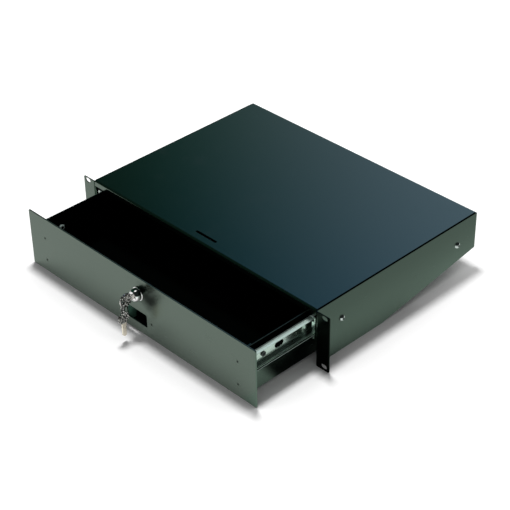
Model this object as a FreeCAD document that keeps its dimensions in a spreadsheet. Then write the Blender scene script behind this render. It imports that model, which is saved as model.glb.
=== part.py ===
import FreeCAD, Part
import math
import os
import re
import Sketcher

# Sliding drawer for a 19 inch rack, two units high, drawn part-way open.
# Frame: +X to the right seen from the front, +Y from the front to the back, +Z up.
# The origin is the centre of the four mounting slots, on the front face of the ears.
# Drawer pieces are drawn as if shut and carried forward by drawer_open at the end.

os.makedirs("parts", exist_ok=True)
doc = FreeCAD.newDocument("RackDrawer")
sheet = doc.addObject("Spreadsheet::Sheet", "Sizes")

SIZES = [
    # rack interface
    ("ear_span", 482.6), ("panel_height", 88.1), ("slot_margin", 8.75), ("slot_drop", 5.95),
    ("slot_length", 10.0), ("slot_width", 6.8), ("ear_reach", 22.3),
    # folded sheet of the housing
    ("rear_room", 13.0), ("sheet_thick", 1.5), ("bend_radius", 1.2), ("edge_radius", 1.4),
    ("fold_radius", 3.0),
    ("flange_width", 15.0), ("front_lip", 8.8), ("rear_lip", 12.0),
    ("taper_start", 125.0), ("taper_rise", 30.0), ("corner_radius", 2.0),
    # slot in the top that takes the tip of the lock cam
    ("catch_length", 40.0), ("catch_width", 4.4), ("cam_back", 15.0),
    # drawer
    ("front_overlap", 5.2), ("front_thick", 2.0), ("front_radius", 1.5),
    ("tray_tail", 1.0), ("floor_rise", 3.0), ("rim_drop", 10.6),
    ("tray_thick", 1.5), ("tray_flange", 17.0), ("back_drop", 6.0), ("drawer_open", 109.6),
    # ball-bearing slides
    ("slide_length", 300.0), ("slide_thick", 12.7), ("slide_height", 35.3), ("slide_drop", 33.6),
    ("slide_front", 3.0), ("rail_sheet", 1.2), ("ball_radius", 2.0), ("ball_run", 0.05),
    ("groove_angle", 25.0), ("cage_sheet", 0.7), ("cage_end", 9.0), ("cage_side_gap", 0.7),
    ("ball_pitch", 36.0), ("balls_per_row", 3.0), ("stop_reach", 4.3), ("stop_half", 9.5),
    ("access_hole", 4.6), ("access_length", 15.5), ("access_inset", 57.0),
    # fasteners
    ("outer_fix_front", 44.0), ("outer_fix_rear", 26.0), ("outer_fix_drop", 3.0),
    ("spacer_radius", 6.0), ("spacer_length", 3.8), ("dome_radius", 4.7), ("dome_rise", 3.4),
    ("shank_radius", 2.0), ("thread_gap", 0.05), ("hole_gap", 0.2),
    ("inner_fix_front", 29.0), ("inner_fix_rear", 19.0),
    ("pan_radius", 3.6), ("pan_rise", 1.6), ("nut_across", 7.0), ("nut_thick", 3.0), ("tail_length", 0.8),
    ("front_fix_inset", 9.0), ("front_fix_low", 19.0), ("front_fix_high", 55.0),
    ("sunk_radius", 3.8), ("sunk_depth", 1.8),
    # finger opening and the guard behind it
    ("finger_width", 40.0), ("finger_low", 14.0), ("finger_high", 34.0), ("finger_radius", 2.0),
    ("guard_depth", 17.0), ("guard_thick", 1.0), ("guard_overlap", 8.0),
    ("guard_flange", 17.0), ("guard_fix_inset", 9.0), ("guard_bend", 1.5),
    # cam lock
    ("lock_side", 6.0), ("lock_drop", 25.1), ("lock_head_radius", 9.0), ("lock_head_length", 10.0),
    ("lock_rim_radius", 10.0), ("lock_rim_length", 1.6), ("lock_barrel_radius", 8.0),
    ("lock_nut_across", 22.0), ("lock_nut_thick", 4.0), ("plug_radius", 5.6), ("plug_run", 0.05),
    ("plug_neck_radius", 4.6), ("plug_neck_length", 5.5), ("plug_recess", 0.4), ("end_play", 0.1),
    ("cam_thick", 2.0), ("cam_width", 12.0), ("cam_tip_gap", 0.3), ("cam_gap", 0.5), ("cam_square", 5.6),
    ("cam_corner", 2.0), ("cam_bolt_radius", 4.6), ("cam_bolt_head", 2.4), ("cam_bolt_thread", 1.6),
    ("cam_bolt_depth", 5.0),
    # keys and ring
    ("key_thick", 2.0), ("blade_width", 7.4), ("blade_length", 20.0), ("key_gap", 0.15),
    ("blade_point", 3.0),
    ("bite_pitch", 3.4), ("bite_depth", 1.6), ("bite_count", 4.0), ("key_shoulder_gap", 1.2),
    ("bow_radius", 10.0), ("bow_rim", 1.8), ("bow_hole", 2.4), ("spare_bow_radius", 9.0),
    ("ring_radius", 9.0), ("ring_half", 0.8), ("ring_chamfer", 0.3), ("seat_gap", 0.3),
]
for row, (alias, number) in enumerate(SIZES, 1):
    sheet.set(f"A{row}", alias)
    sheet.set(f"B{row}", str(number))
    sheet.setAlias(f"B{row}", alias)
doc.recompute()


def bound(text):
    """Turn size names in a formula into references to the sheet."""
    return re.sub(r"[a-z]\w*", lambda word: f"Sizes.{word[0]}" if word[0] in ALIASES else word[0], text)


def amount(text):
    """The number that a formula of size names gives."""
    return float(sheet.evalExpression(bound(text)))


ALIASES = {alias for alias, _ in SIZES}
pieces = []

# Levels and faces that several pieces share.
TOP = "( panel_height / 2 )"
BOTTOM = "( 0 - panel_height / 2 )"
ROOF_UNDER = "( panel_height / 2 - sheet_thick )"
SLOT_X = "( ear_span / 2 - slot_margin )"
SLOT_Z = "( panel_height / 2 - slot_drop )"
WALL_OUT = "( ear_span / 2 - ear_reach )"
WALL_IN = "( ear_span / 2 - ear_reach - sheet_thick )"
SLIDE_BACK = f"( {WALL_IN} - spacer_length )"
TRAY_OUT = f"( {SLIDE_BACK} - slide_thick )"
TRAY_IN = f"( {TRAY_OUT} - tray_thick )"
TRAY_FLOOR = f"( {BOTTOM} + floor_rise )"
TRAY_RIM = f"( {TOP} - rim_drop )"
FRONT_HALF = f"( {WALL_OUT} + front_overlap )"
FRONT_FACE = "( 0 - front_thick )"
FRONT_FIX_X = f"( {TRAY_OUT} - front_fix_inset )"
FRONT_FIX_Z = [f"( {BOTTOM} + front_fix_low )", f"( {BOTTOM} + front_fix_high )"]
SLIDE_Z = f"( {TOP} - slide_drop )"
SLIDE_END = "( slide_front + slide_length )"
BODY_DEPTH = f"( {SLIDE_END} + rear_room )"
TRAY_DEPTH = f"( {SLIDE_END} + tray_tail )"
BALL_X = f"( {TRAY_OUT} + slide_thick / 2 )"
CAGE_LENGTH = "( ball_pitch * ( balls_per_row - 1 ) + cage_end * 2 )"
BALL_RISE = "( slide_height / 2 - rail_sheet - ball_run - ball_radius )"
OUTER_FIX_Z = f"( {SLIDE_Z} - outer_fix_drop )"
OUTER_FIXINGS = ["( slide_front + outer_fix_front )", f"( {SLIDE_END} - outer_fix_rear )"]
INNER_FIXINGS = ["( slide_front + inner_fix_front )", "( slide_front + slide_length / 2 )",
                 f"( {SLIDE_END} - inner_fix_rear )"]
FINGER_X = "( finger_width / 2 )"
FINGER_LOW = f"( {BOTTOM} + finger_low )"
FINGER_HIGH = f"( {BOTTOM} + finger_high )"
GUARD_FIX_X = f"( {FINGER_X} + guard_fix_inset )"
LOCK_Z = f"( {TOP} - lock_drop )"
LOCK_FACE = "( 0 - front_thick - lock_head_length )"
CAM_FRONT = "( cam_back - cam_thick / 2 )"
CAM_REAR = "( cam_back + cam_thick / 2 )"
BARREL_END = f"( {CAM_FRONT} - cam_gap )"


# ---------------------------------------------------------------- drawing helpers

def bind(thing, prop, text):
    thing.setExpression(prop, bound(text))


def place(thing, x="0", y="0", z="0"):
    for axis, text in zip("xyz", (x, y, z)):
        bind(thing, f"Placement.Base.{axis}", text)
    return thing


def turn(thing, axis, degrees):
    thing.Placement = FreeCAD.Placement(FreeCAD.Vector(0, 0, 0), FreeCAD.Rotation(axis, degrees))
    return thing


X_AXIS = FreeCAD.Vector(1, 0, 0)
Y_AXIS = FreeCAD.Vector(0, 1, 0)


def finish(thing, label, drawer=False):
    """Name a finished piece and list it for export; drawer pieces are carried forward."""
    thing.Label = label
    if drawer:
        bind(thing, "Placement.Base.y", "0 - drawer_open")
    pieces.append(thing)
    return thing


def rod(name, radius, along, x="0", y="0", z="0", length="1"):
    """A cylinder from (x, y, z) for a length towards +X, +Y or +Z."""
    bar = doc.addObject("Part::Cylinder", name)
    if along == "X":
        turn(bar, Y_AXIS, 90)
    if along == "Y":
        turn(bar, X_AXIS, -90)
    bind(bar, "Radius", radius)
    bind(bar, "Height", length)
    return place(bar, x, y, z)


def cut(name, base, tool):
    result = doc.addObject("Part::Cut", name)
    result.Base = base
    result.Tool = tool
    return result


def fuse(name, shapes):
    result = doc.addObject("Part::MultiFuse", name)
    result.Shapes = shapes
    return result


def group(name, shapes):
    result = doc.addObject("Part::Compound", name)
    result.Links = shapes
    return result


def mirror(source, label):
    """The same piece on the other side of the rack's middle plane."""
    result = doc.addObject("Part::Mirroring", label)
    result.Source = source
    result.Normal = X_AXIS
    return finish(result, label)


def body(name):
    return doc.addObject("PartDesign::Body", name)


def sketch(owner, role, level="0"):
    """A sketch on one of the body's own planes, raised along the plane's normal."""
    drawn = owner.newObject("Sketcher::SketchObject", f"{owner.Name}_lines")
    plane = next(part for part in owner.Origin.OriginFeatures if part.Role == role)
    drawn.AttachmentSupport = [(plane, "")]
    drawn.MapMode = "FlatFace"
    bind(drawn, "AttachmentOffset.Base.z", level)
    return drawn


def pin_point(drawn, curve, point, across, up):
    for kind, text in (("DistanceX", across), ("DistanceY", up)):
        number = drawn.addConstraint(Sketcher.Constraint(kind, -1, 1, curve, point, amount(text)))
        bind(drawn, f"Constraints[{number}]", text)


def polygon(drawn, corners):
    """A closed outline whose corners are pairs of formulas."""
    points = [FreeCAD.Vector(amount(across), amount(up), 0) for across, up in corners]
    first = drawn.GeometryCount
    for start, end in zip(points, points[1:] + points[:1]):
        drawn.addGeometry(Part.LineSegment(start, end))
    for number in range(len(points)):
        follower = first + (number + 1) % len(points)
        drawn.addConstraint(Sketcher.Constraint("Coincident", first + number, 2, follower, 1))
    for number, (across, up) in enumerate(corners):
        pin_point(drawn, first + number, 1, across, up)


def rectangle(drawn, across, up):
    polygon(drawn, [(across[0], up[0]), (across[1], up[0]), (across[1], up[1]), (across[0], up[1])])


def circle(drawn, radius, across, up):
    centre = FreeCAD.Vector(amount(across), amount(up), 0)
    ring = drawn.addGeometry(Part.Circle(centre, FreeCAD.Vector(0, 0, 1), amount(radius)))
    pin_point(drawn, ring, 3, across, up)
    number = drawn.addConstraint(Sketcher.Constraint("Radius", ring, amount(radius)))
    bind(drawn, f"Constraints[{number}]", radius)


def slot(drawn, length, width, across, up):
    """A level round-ended slot about (across, up)."""
    reach = f"( {length} - {width} ) / 2"
    half = amount(f"{width} / 2")
    low = FreeCAD.Vector(amount(f"{across} - {reach}"), amount(up), 0)
    high = FreeCAD.Vector(amount(f"{across} + {reach}"), amount(up), 0)
    normal = FreeCAD.Vector(0, 0, 1)
    lift = FreeCAD.Vector(0, half, 0)
    left = drawn.addGeometry(Part.ArcOfCircle(Part.Circle(low, normal, half), math.pi / 2, 3 * math.pi / 2))
    right = drawn.addGeometry(Part.ArcOfCircle(Part.Circle(high, normal, half), -math.pi / 2, math.pi / 2))
    under = drawn.addGeometry(Part.LineSegment(low - lift, high - lift))
    over = drawn.addGeometry(Part.LineSegment(high + lift, low + lift))
    joins = ((left, 2, under, 1), (under, 2, right, 1), (right, 2, over, 1), (over, 2, left, 1))
    for one, end, other, start in joins:
        drawn.addConstraint(Sketcher.Constraint("Tangent", one, end, other, start))
    drawn.addConstraint(Sketcher.Constraint("Equal", left, right))
    pin_point(drawn, left, 3, f"{across} - {reach}", up)
    pin_point(drawn, right, 3, f"{across} + {reach}", up)
    number = drawn.addConstraint(Sketcher.Constraint("Radius", left, half))
    bind(drawn, f"Constraints[{number}]", f"{width} / 2")


def pad(owner, drawn, length, towards_normal=True):
    solid = owner.newObject("PartDesign::Pad", f"{owner.Name}_pad")
    solid.Profile = drawn
    bind(solid, "Length", length)
    solid.Reversed = not towards_normal
    doc.recompute()
    return solid


def pocket(owner, drawn, depth, towards_normal=False):
    """Cut a sketch into the body, and make sure that it removed something."""
    before = owner.Tip.Shape.Volume
    hole = owner.newObject("PartDesign::Pocket", f"{owner.Name}_pocket")
    hole.Profile = drawn
    bind(hole, "Length", depth)
    hole.Reversed = towards_normal
    doc.recompute()
    if hole.Shape.Volume > before - 1e-6:
        raise RuntimeError(f"{hole.Name} cuts nothing")
    return hole


def edges_at(shape, **fixed):
    """Names of the straight edges that stay at the given coordinates."""
    found = []
    for number, edge in enumerate(shape.Edges, 1):
        box = edge.BoundBox
        spans = {"x": (box.XMin, box.XMax), "y": (box.YMin, box.YMax), "z": (box.ZMin, box.ZMax)}
        if all(abs(end - amount(text)) < 0.01 for axis, text in fixed.items() for end in spans[axis]):
            found.append(f"Edge{number}")
    return found


def fillet(owner, radius, places):
    """Round the edges found at each set of coordinates."""
    base = owner.Tip
    names = [name for fixed in places for name in edges_at(base.Shape, **fixed)]
    if not names:
        raise RuntimeError(f"{owner.Name} has no edge to round")
    rounded = owner.newObject("PartDesign::Fillet", f"{owner.Name}_fillet")
    rounded.Base = (base, names)
    bind(rounded, "Radius", radius)
    doc.recompute()
    return rounded


# ---------------------------------------------------------------- housing

def make_top_panel():
    """Flat top, notched at its corners to fold a lip down at each end, with the slot for the cam."""
    panel = body("TopPanel")
    plate = sketch(panel, "XY_Plane", ROOF_UNDER)
    lip = f"( {WALL_IN} - hole_gap )"
    right_side = [(lip, "0"), (lip, "fold_radius"), (WALL_OUT, "fold_radius"),
                  (WALL_OUT, f"{BODY_DEPTH} - fold_radius"), (lip, f"{BODY_DEPTH} - fold_radius"),
                  (lip, BODY_DEPTH)]
    left_side = [(f"0 - {across}", back) for across, back in reversed(right_side)]
    polygon(plate, right_side + left_side)
    pad(panel, plate, "sheet_thick")
    between_walls = (f"0 - {lip}", lip)
    front = sketch(panel, "XZ_Plane", "0")
    rectangle(front, between_walls, (f"{TOP} - front_lip", ROOF_UNDER))
    pad(panel, front, "sheet_thick", towards_normal=False)
    rear = sketch(panel, "XZ_Plane", f"0 - {BODY_DEPTH}")
    rectangle(rear, between_walls, (f"{TOP} - rear_lip", ROOF_UNDER))
    pad(panel, rear, "sheet_thick")
    fillet(panel, "fold_radius - sheet_thick", [{"y": "sheet_thick", "z": ROOF_UNDER},
                                                {"y": f"{BODY_DEPTH} - sheet_thick", "z": ROOF_UNDER}])
    fillet(panel, "fold_radius", [{"y": "0", "z": TOP}, {"y": BODY_DEPTH, "z": TOP}])
    fillet(panel, "edge_radius", [{"x": WALL_OUT, "z": TOP}, {"x": f"0 - {WALL_OUT}", "z": TOP}])
    catch = sketch(panel, "XY_Plane", TOP)
    slot(catch, "catch_length", "catch_width", "0", "cam_back")
    pocket(panel, catch, "sheet_thick")
    finish(panel, "top_panel")


def make_side_plates():
    """Each side is one folded sheet: wall, inward top flange and outward mounting ear."""
    side = body("RightSide")
    wall = sketch(side, "YZ_Plane", WALL_IN)
    polygon(wall, [("0", BOTTOM), ("taper_start", BOTTOM), (BODY_DEPTH, f"{BOTTOM} + taper_rise"),
                   (BODY_DEPTH, ROOF_UNDER), ("0", ROOF_UNDER)])
    pad(side, wall, "sheet_thick")
    ear = sketch(side, "XZ_Plane", "0")
    rectangle(ear, (WALL_IN, "ear_span / 2"), (BOTTOM, ROOF_UNDER))
    pad(side, ear, "sheet_thick", towards_normal=False)
    flange = sketch(side, "XY_Plane", f"{ROOF_UNDER} - sheet_thick")
    rectangle(flange, (f"{WALL_IN} - flange_width", WALL_OUT),
              ("fold_radius + hole_gap", f"{BODY_DEPTH} - fold_radius - hole_gap"))
    pad(side, flange, "sheet_thick")
    slots = sketch(side, "XZ_Plane", "0")
    for up in (f"0 - {SLOT_Z}", SLOT_Z):
        slot(slots, "slot_length", "slot_width", SLOT_X, up)
    pocket(side, slots, "sheet_thick")
    holes = sketch(side, "YZ_Plane", WALL_OUT)
    for back in OUTER_FIXINGS:
        circle(holes, "shank_radius + hole_gap", back, OUTER_FIX_Z)
    pocket(side, holes, "sheet_thick")
    fillet(side, "fold_radius - sheet_thick", [{"x": WALL_OUT, "y": "sheet_thick"}])
    fillet(side, "fold_radius", [{"x": WALL_IN, "y": "0"}])
    fillet(side, "corner_radius", [{"x": "ear_span / 2", "z": z} for z in (BOTTOM, ROOF_UNDER)])
    finish(side, "right_side_plate")
    mirror(side, "left_side_plate")


# ---------------------------------------------------------------- slides

def sector(centre_x, centre_z, inner, outer, start, end):
    """A flat ring sector in the XZ plane, angles in degrees from +X towards +Z."""
    axis = FreeCAD.Vector(0, -1, 0)
    centre = FreeCAD.Vector(centre_x, 0, centre_z)
    arcs = []
    for radius in (outer, inner):
        ring = Part.Circle(centre, axis, radius)
        ring.XAxis = X_AXIS
        arcs.append(Part.ArcOfCircle(ring, math.radians(start), math.radians(end)).toShape())
    inside, outside = (arc.Vertexes for arc in arcs)
    ends = [Part.makeLine(one.Point, other.Point) for one, other in zip(inside, outside)]
    return Part.Face(Part.Wire(Part.__sortEdges__(arcs + ends)))


def strip(x_low, x_high, z_low, z_high):
    corners = [(x_low, z_low), (x_high, z_low), (x_high, z_high), (x_low, z_high), (x_low, z_low)]
    return Part.Face(Part.makePolygon([FreeCAD.Vector(x, 0, z) for x, z in corners]))


def rail_shape(web, flange_x, flange_z, groove, start, length):
    """A rolled rail: a web with a grooved flange at the top and, mirrored, at the bottom."""
    level = amount(SLIDE_Z)
    faces = [strip(*web, level - flange_z[1], level + flange_z[1])]
    for sign in (1, -1):
        low, high = sorted((level + sign * flange_z[0], level + sign * flange_z[1]))
        faces.append(strip(*flange_x, low, high))
        turn_from, turn_to = groove if sign > 0 else (-groove[1], -groove[0])
        inner = amount("ball_radius + ball_run")
        centre_z = level + sign * amount(BALL_RISE)
        outer = inner + amount("rail_sheet")
        faces.append(sector(amount(BALL_X), centre_z, inner, outer, turn_from, turn_to))
    section = faces[0].multiFuse(faces[1:]).removeSplitter()
    solid = section.extrude(FreeCAD.Vector(0, length, 0))
    solid.translate(FreeCAD.Vector(0, start, 0))
    return solid.removeSplitter()


def through_holes(places, level, radius, x_low, x_high, stretch=0.0):
    """Cylinders along X at each distance back, drawn out along Y into slots where asked."""
    tools = []
    for back in places:
        for shift in sorted({-stretch / 2, stretch / 2}):
            base = FreeCAD.Vector(x_low, back + shift, level)
            tools.append(Part.makeCylinder(radius, x_high - x_low, base, X_AXIS))
        if stretch:
            corner = FreeCAD.Vector(x_low, back - stretch / 2, level - radius)
            tools.append(Part.makeBox(x_high - x_low, stretch, 2 * radius, corner))
    return tools


def make_outer_rails():
    """The member on the housing: flanges curl over the balls, a tab at the front stops the cage."""
    back = amount(SLIDE_BACK)
    web = (back - amount("rail_sheet"), back)
    flange = (amount("slide_height / 2 - rail_sheet"), amount("slide_height / 2"))
    opening = amount("groove_angle")
    solid = rail_shape(web, (amount(BALL_X), back), flange, (opening, 180 - opening),
                       amount("slide_front"), amount("slide_length"))
    tab = strip(web[0] - amount("stop_reach"), web[1], amount(f"{SLIDE_Z} - stop_half"),
                amount(f"{SLIDE_Z} + stop_half"))
    stop = tab.extrude(FreeCAD.Vector(0, amount("rail_sheet"), 0))
    stop.translate(FreeCAD.Vector(0, amount("slide_front"), 0))
    fixings = [amount(back) for back in OUTER_FIXINGS]
    holes = through_holes(fixings, amount(OUTER_FIX_Z), amount("shank_radius + hole_gap"), web[0] - 1,
                          web[1] + 1)
    rail = doc.addObject("Part::Feature", "RightOuterRail")
    rail.Shape = solid.fuse(stop).cut(holes).removeSplitter()
    finish(rail, "right_slide_outer")
    mirror(rail, "left_slide_outer")


def make_inner_rails():
    """The member on the drawer: its flanges cradle the balls from inside."""
    face = amount(TRAY_OUT)
    web = (face, face + amount("rail_sheet"))
    reach = amount(f"{BALL_RISE} - ball_radius - ball_run")
    flange = (reach - amount("rail_sheet"), reach)
    opening = amount("groove_angle")
    start = amount("slide_front")
    solid = rail_shape(web, (face, amount(BALL_X)), flange, (opening - 180, 0 - opening),
                       start, amount("slide_length"))
    fixings = [amount(back) for back in INNER_FIXINGS]
    level = amount(SLIDE_Z)
    holes = through_holes(fixings, level, amount("shank_radius + hole_gap"), web[0] - 1, web[1] + 1)
    access = [amount("slide_front + access_inset"), amount(f"{SLIDE_END} - access_inset")]
    holes += through_holes(access, level, amount("access_hole"), web[0] - 1, web[1] + 1,
                           amount("access_length - access_hole * 2"))
    rail = doc.addObject("Part::Feature", "RightInnerRail")
    rail.Shape = solid.cut(holes)
    rail.Placement.Base.y = -amount("drawer_open")
    finish(rail, "right_slide_inner")
    mirror(rail, "left_slide_inner")


# The cage runs at half the drawer's travel, and is midway along the slide when the drawer is shut.
CAGE_START = f"( slide_front + slide_length / 2 - {CAGE_LENGTH} / 2 - drawer_open / 2 )"
CAGE_WEB = f"( {SLIDE_BACK} - rail_sheet - cage_side_gap )"


def ball_places():
    """Distance back of each ball in a row."""
    count = int(amount("balls_per_row"))
    middle = amount(f"{CAGE_START} + {CAGE_LENGTH} / 2")
    return [middle + (number - (count - 1) / 2) * amount("ball_pitch") for number in range(count)]


def make_cages():
    """A thin strip bent round the inner rail's flanges, with a hole for each ball."""
    web_out = amount(CAGE_WEB)
    web_in = web_out - amount("cage_sheet")
    rise = amount(BALL_RISE)
    half = amount("cage_sheet / 2")
    level = amount(SLIDE_Z)
    faces = [strip(web_in, web_out, level - rise - half, level + rise + half)]
    tip = amount(f"{BALL_X} - ball_radius - rail_sheet")
    for sign in (1, -1):
        faces.append(strip(tip, web_out, level + sign * rise - half, level + sign * rise + half))
    section = faces[0].multiFuse(faces[1:]).removeSplitter()
    solid = section.extrude(FreeCAD.Vector(0, amount(CAGE_LENGTH), 0))
    solid.translate(FreeCAD.Vector(0, amount(CAGE_START), 0))
    radius = amount("ball_radius + ball_run")
    below = level - rise - 2 * half
    height = 2 * (rise + 2 * half)
    holes = []
    for back in ball_places():
        holes.append(Part.makeCylinder(radius, height, FreeCAD.Vector(amount(BALL_X), back, below)))
    cage = doc.addObject("Part::Feature", "RightCage")
    cage.Shape = solid.cut(holes)
    finish(cage, "right_ball_cage")
    mirror(cage, "left_ball_cage")


def make_balls():
    balls = []
    for row, rise in (("Upper", BALL_RISE), ("Lower", f"0 - {BALL_RISE}")):
        for number, back in enumerate(ball_places()):
            ball = doc.addObject("Part::Sphere", f"{row}Ball{number}")
            bind(ball, "Radius", "ball_radius")
            offset = f"{back - amount(CAGE_START):.6f}"
            balls.append(place(ball, BALL_X, f"{CAGE_START} + {offset}", f"{SLIDE_Z} + {rise}"))
    row = finish(group("RightBalls", balls), "right_balls")
    mirror(row, "left_balls")


# ---------------------------------------------------------------- fasteners

def dome_screw(name, back):
    """Domed head on the outside of the wall, shank through the spacer to the rail's inner face."""
    head = doc.addObject("Part::Sphere", f"{name}Head")
    ball = "( ( dome_radius ^ 2 + dome_rise ^ 2 ) / ( 2 * dome_rise ) )"
    turn(head, Y_AXIS, 90)
    bind(head, "Radius", ball)
    bind(head, "Angle1", f"asin(( {ball} - dome_rise ) / {ball})")
    head.Angle2 = 90
    place(head, f"{WALL_OUT} + dome_rise - {ball}", back, OUTER_FIX_Z)
    inner = f"( {SLIDE_BACK} - rail_sheet )"
    grip = f"{WALL_OUT} - {inner} + dome_rise / 2"
    shank = rod(f"{name}Shank", "shank_radius", "X", inner, back, OUTER_FIX_Z, grip)
    return fuse(name, [head, shank])


def spacer(name, back):
    length = f"{WALL_IN} - {SLIDE_BACK}"
    outer = rod(f"{name}Outer", "spacer_radius", "X", SLIDE_BACK, back, OUTER_FIX_Z, length)
    bore = rod(f"{name}Bore", "shank_radius + thread_gap", "X", SLIDE_BACK, back, OUTER_FIX_Z, length)
    return cut(name, outer, bore)


def pan_screw(name, back):
    """Low head inside the inner rail, shank through rail, tray wall and nut."""
    face = f"( {TRAY_OUT} + rail_sheet )"
    head = rod(f"{name}Head", "pan_radius", "X", face, back, SLIDE_Z, "pan_rise")
    tail = f"( {TRAY_IN} - nut_thick - tail_length )"
    shank = rod(f"{name}Shank", "shank_radius", "X", tail, back, SLIDE_Z, f"{face} - {tail} + pan_rise / 2")
    return fuse(name, [head, shank])


def hex_nut(name, across, thick, bore, along, x, y, z):
    """A hexagonal nut from (x, y, z) towards +X or +Y."""
    block = doc.addObject("Part::Prism", f"{name}Block")
    block.Polygon = 6
    turn(block, Y_AXIS if along == "X" else X_AXIS, 90 if along == "X" else -90)
    bind(block, "Circumradius", f"{across} / 2 / cos(30)")
    bind(block, "Height", thick)
    place(block, x, y, z)
    return cut(name, block, rod(f"{name}Bore", bore, along, x, y, z, thick))


def sunk_screw(name, x, z, grip):
    """Countersunk head flush with the front panel's face, shank through the sheet behind it."""
    head = doc.addObject("Part::Cone", f"{name}Head")
    turn(head, X_AXIS, -90)
    bind(head, "Radius1", "sunk_radius")
    bind(head, "Radius2", "shank_radius")
    bind(head, "Height", "sunk_depth")
    place(head, x, FRONT_FACE, z)
    shank = rod(f"{name}Shank", "shank_radius", "Y", x, f"{FRONT_FACE} + sunk_depth / 2", z,
                f"front_thick - sunk_depth / 2 + {grip} + nut_thick + tail_length")
    return fuse(name, [head, shank])


def make_side_fasteners():
    screws = group("RightSideScrews", [dome_screw(f"Dome{n}", back) for n, back in enumerate(OUTER_FIXINGS)])
    mirror(finish(screws, "right_side_screws"), "left_side_screws")
    spacers = group("RightSpacers", [spacer(f"Spacer{n}", back) for n, back in enumerate(OUTER_FIXINGS)])
    mirror(finish(spacers, "right_slide_spacers"), "left_slide_spacers")


def make_tray_fasteners():
    screws = group("RightTrayScrews", [pan_screw(f"Pan{n}", back) for n, back in enumerate(INNER_FIXINGS)])
    mirror(finish(screws, "right_tray_screws", drawer=True), "left_tray_screws")
    nuts = []
    for number, back in enumerate(INNER_FIXINGS):
        nuts.append(hex_nut(f"TrayNut{number}", "nut_across", "nut_thick", "shank_radius + thread_gap", "X",
                            f"{TRAY_IN} - nut_thick", back, SLIDE_Z))
    mirror(finish(group("RightTrayNuts", nuts), "right_tray_nuts", drawer=True), "left_tray_nuts")


def front_fixings():
    """Places of the screws through the front panel, on both sides."""
    return [(x, up) for x in (f"0 - {FRONT_FIX_X}", FRONT_FIX_X) for up in FRONT_FIX_Z]


def guard_fixings():
    middle = f"( {FINGER_LOW} + {FINGER_HIGH} ) / 2"
    return [(f"0 - {GUARD_FIX_X}", middle), (GUARD_FIX_X, middle)]


def make_front_fasteners():
    for name, label, places, grip in (("Front", "front_panel", front_fixings(), "tray_thick"),
                                      ("Guard", "guard", guard_fixings(), "guard_thick")):
        screws = []
        nuts = []
        for number, (x, z) in enumerate(places):
            screws.append(sunk_screw(f"{name}Screw{number}", x, z, grip))
            nuts.append(hex_nut(f"{name}Nut{number}", "nut_across", "nut_thick", "shank_radius + thread_gap",
                                "Y", x, grip, z))
        finish(group(f"{name}Screws", screws), f"{label}_screws", drawer=True)
        finish(group(f"{name}Nuts", nuts), f"{label}_nuts", drawer=True)


# ---------------------------------------------------------------- drawer

def make_tray():
    """Folded tray: a floor and two upright walls."""
    tray = body("Tray")
    floor = sketch(tray, "XY_Plane", TRAY_FLOOR)
    rectangle(floor, (f"0 - {TRAY_OUT}", TRAY_OUT), ("0", TRAY_DEPTH))
    pad(tray, floor, "tray_thick")
    for low, high in ((TRAY_IN, TRAY_OUT), (f"0 - {TRAY_OUT}", f"0 - {TRAY_IN}")):
        wall = sketch(tray, "XY_Plane", TRAY_FLOOR)
        rectangle(wall, (low, high), ("0", TRAY_DEPTH))
        pad(tray, wall, f"{TRAY_RIM} - {TRAY_FLOOR}")
    sides = sketch(tray, "YZ_Plane", f"0 - {TRAY_OUT}")
    for back in INNER_FIXINGS:
        circle(sides, "shank_radius + hole_gap", back, SLIDE_Z)
    pocket(tray, sides, f"{TRAY_OUT} * 2", towards_normal=True)
    fillet(tray, "bend_radius", [{"x": x, "z": TRAY_FLOOR} for x in (TRAY_OUT, f"0 - {TRAY_OUT}")])
    finish(tray, "drawer_tray", drawer=True)


def make_front_brackets():
    """Angles welded inside the tray's front corners, that take the front panel's screws."""
    bracket = body("RightFrontBracket")
    angle = sketch(bracket, "XY_Plane", f"{TRAY_FLOOR} + tray_thick")
    inner = f"( {TRAY_OUT} - tray_flange )"
    leg = f"( {TRAY_IN} - tray_thick )"
    polygon(angle, [(inner, "0"), (TRAY_IN, "0"), (TRAY_IN, "flange_width"), (leg, "flange_width"),
                    (leg, "tray_thick"), (inner, "tray_thick")])
    pad(bracket, angle, f"{TRAY_RIM} - {TRAY_FLOOR} - tray_thick")
    holes = sketch(bracket, "XZ_Plane", "0")
    for up in FRONT_FIX_Z:
        circle(holes, "shank_radius + hole_gap", FRONT_FIX_X, up)
    pocket(bracket, holes, "tray_thick")
    fillet(bracket, "bend_radius", [{"x": TRAY_IN, "y": "0"}])
    mirror(finish(bracket, "right_front_bracket", drawer=True), "left_front_bracket")


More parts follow.
